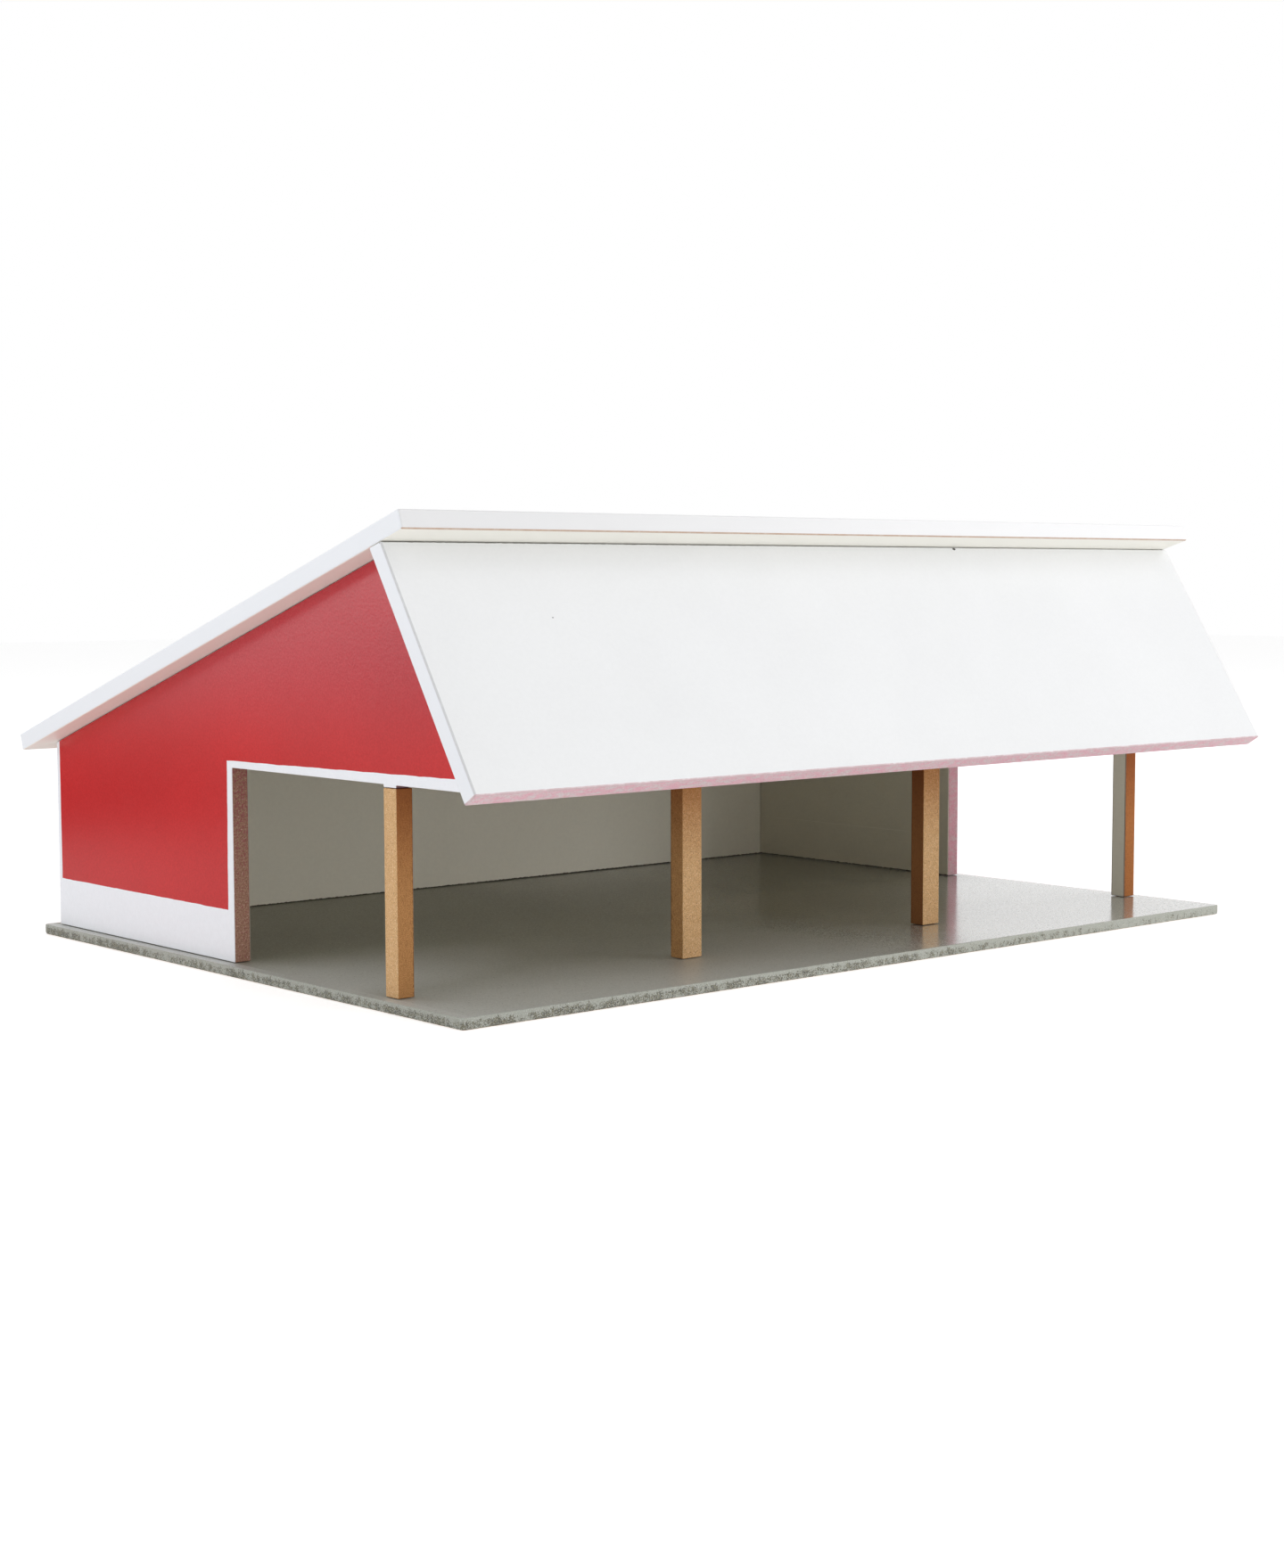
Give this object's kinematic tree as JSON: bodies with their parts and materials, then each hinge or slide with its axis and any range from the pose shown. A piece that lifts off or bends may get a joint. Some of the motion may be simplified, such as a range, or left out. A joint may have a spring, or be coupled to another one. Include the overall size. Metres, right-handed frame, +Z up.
{
  "type": "toy cattle shed",
  "caption": "Toy cattle shed of painted board: red gables with side doorways, a long low roof, a steep canopy and an open front on posts.",
  "frame": {"origin": "centre of the base plate's flat underside", "axes": "+X along the shed to the viewer's right seen from the open front, +Y to the rear wall, +Z up"},
  "size_m": [0.549, 0.4072, 0.2204],
  "materials": {
    "red_paint": "satin red paint on fibreboard, white painted border and plinth, sawn edges with red overspray",
    "white_paint": "satin white paint on fibreboard with a faint orange-peel",
    "base_grey_paint": "semi-gloss grey-green paint on thin fibreboard",
    "inner_wall_paint": "fibreboard coated white on its inner face, satin red and white paint outside",
    "bare_board": "bare sawn fibreboard, fine fibrous mottle",
    "screw_steel": "zinc-passivated",
    "pin_steel": "bright wire"
  },
  "bodies": {
    "root": {"base_plate": "base_grey_paint", "gable_left": "red_paint", "gable_right": "red_paint", "leg_left": "bare_board", "leg_right": "bare_board", "rear_wall": "inner_wall_paint", "post_1": "bare_board", "post_2": "bare_board", "main_roof": "white_paint", "front_canopy": "white_paint", "screw_gable_left_1": "screw_steel", "screw_gable_left_2": "screw_steel", "screw_leg_left": "screw_steel", "screw_gable_right_1": "screw_steel", "screw_gable_right_2": "screw_steel", "screw_leg_right": "screw_steel", "screw_rear_wall_1": "screw_steel", "screw_rear_wall_2": "screw_steel", "screw_rear_wall_3": "screw_steel", "screw_post_1": "screw_steel", "screw_post_2": "screw_steel", "roof_pin_gable_left_1": "pin_steel", "roof_pin_gable_left_2": "pin_steel", "roof_pin_gable_left_3": "pin_steel", "roof_pin_gable_right_1": "pin_steel", "roof_pin_gable_right_2": "pin_steel", "roof_pin_gable_right_3": "pin_steel", "roof_pin_rear_wall_1": "pin_steel", "roof_pin_rear_wall_2": "pin_steel", "roof_pin_rear_wall_3": "pin_steel", "roof_pin_post_1": "pin_steel", "roof_pin_post_2": "pin_steel", "canopy_pin_left_1": "pin_steel", "canopy_pin_left_2": "pin_steel", "canopy_pin_left_3": "pin_steel", "canopy_pin_right_1": "pin_steel", "canopy_pin_right_2": "pin_steel", "canopy_pin_right_3": "pin_steel"}
  },
  "joints": []
}
